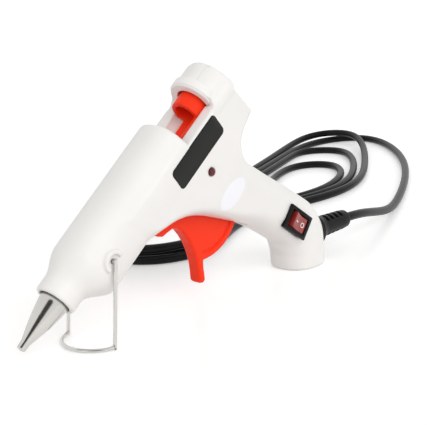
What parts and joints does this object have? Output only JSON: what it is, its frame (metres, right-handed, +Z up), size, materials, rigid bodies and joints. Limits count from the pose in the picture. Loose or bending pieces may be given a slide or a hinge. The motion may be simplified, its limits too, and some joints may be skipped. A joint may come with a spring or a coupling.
{
  "type": "hot glue applicator",
  "caption": "Pistol-grip hot glue applicator with trigger-fed stick carriage, metal cone nozzle, swinging wire foot, rocker switch, pilot lamp and a mains cord laid in a loose hank.",
  "frame": {"origin": "floor point under the middle of the gun's own box, cord left out", "axes": "+X rearward towards the handle's foot, nozzle at -X; +Y to the gun's right side, switch and lamp at -Y; +Z up from the floor"},
  "size_m": [0.381, 0.1839, 0.0952],
  "materials": {
    "white_abs": "glossy moulded ABS",
    "nozzle_metal": "turned, bright",
    "red_silicone": "matt",
    "cast_aluminium": "as cast",
    "ptc_ceramic": "sintered ceramic",
    "brass_strip": "stamped",
    "film": "amber film",
    "clear_silicone": "matt",
    "spring_steel": "drawn",
    "orange_plastic": "glossy moulded",
    "bright_wire": "plated wire",
    "black_plastic": "glossy moulded",
    "red_plastic": "glossy moulded, printed marks",
    "lamp_lens": "dark red lens, unlit",
    "resistor_body": "lacquered",
    "brown_wire": "insulated lead",
    "red_wire": "insulated lead",
    "blue_wire": "insulated lead",
    "black_rubber": "moulded, satin",
    "black_pvc": "extruded, satin",
    "pin_brass": "nickel plated"
  },
  "bodies": {
    "gun": {"left_shell": "white_abs", "right_shell": "white_abs", "rear_collar": "white_abs", "nozzle": "nozzle_metal", "nozzle_seal": "red_silicone", "melt_chamber": "cast_aluminium", "ptc_heater": "ptc_ceramic", "heater_electrodes": "brass_strip", "heater_film": "film", "inlet_sleeve": "clear_silicone", "sleeve_clip": "spring_steel", "trigger_pin": "spring_steel", "return_spring": "spring_steel", "switch_body": "black_plastic", "switch_terminals": "brass_strip", "pilot_lamp": "lamp_lens", "lamp_resistor": "resistor_body", "live_wire": "brown_wire", "heater_wire": "red_wire", "neutral_wire": "blue_wire", "shell_screws": "spring_steel", "strain_relief": "black_rubber", "power_cord": "black_pvc", "cord_hank": "black_pvc", "plug_body": "black_rubber", "plug_pins": "pin_brass"},
    "trigger": {"trigger": "orange_plastic"},
    "carriage": {"stick_carriage": "orange_plastic", "stick_gripper": "spring_steel"},
    "stand": {"wire_stand": "bright_wire"},
    "rocker": {"switch_rocker": "red_plastic"}
  },
  "joints": [
    {"name": "trigger_squeeze", "type": "hinge", "parent": "gun", "child": "trigger", "pos_m": [-0.00286, 0, 0.04599], "axis": [0, -1, 0], "range_deg": [0, 28], "stiffness_Nm_per_rad": 0.3, "springref_deg": -14.32},
    {"name": "carriage_slide", "type": "slide", "parent": "gun", "child": "carriage", "axis": [-0.7826, 0, -0.6225], "range_m": [0, 0.0046]},
    {"name": "stand_swing", "type": "hinge", "parent": "gun", "child": "stand", "pos_m": [-0.04413, 0, 0.03233], "axis": [0, -1, 0], "range_deg": [0, 80]},
    {"name": "rocker_tilt", "type": "hinge", "parent": "gun", "child": "rocker", "pos_m": [0.05689, -0.0086, 0.02324], "axis": [-0.6004, 0, -0.7997], "range_deg": [0, 22]}
  ],
  "couplings": [
    {"joint": "carriage_slide", "follows": "trigger_squeeze", "m_per_rad": 0.009406}
  ]
}
